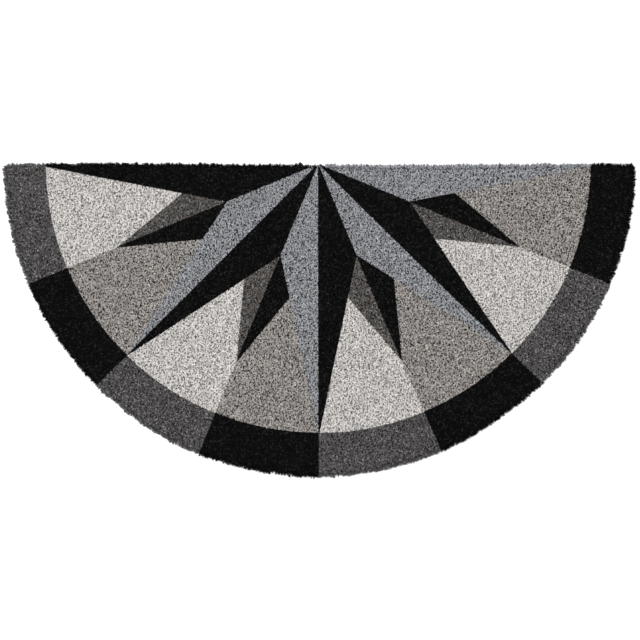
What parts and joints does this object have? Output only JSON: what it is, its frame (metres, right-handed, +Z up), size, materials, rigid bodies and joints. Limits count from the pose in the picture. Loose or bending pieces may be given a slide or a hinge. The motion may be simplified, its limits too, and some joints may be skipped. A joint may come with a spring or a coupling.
{
  "type": "half round doormat",
  "caption": "Flat half round doormat of short stiff coir pile, with one straight edge that lies along a doorway, for wiping shoes.",
  "frame": {"origin": "on the flat underside, in the middle of the mat's width and depth", "axes": "+Z up out of the pile, +X along the straight edge, +Y from the round edge towards the straight edge"},
  "size_m": [0.9, 0.4476, 0.015],
  "materials": {
    "coir_pile": "short brushed coconut-fibre pile, dull and dry, dyed in greys and black"
  },
  "bodies": {
    "root": {"coir_mat": "coir_pile"}
  },
  "joints": []
}
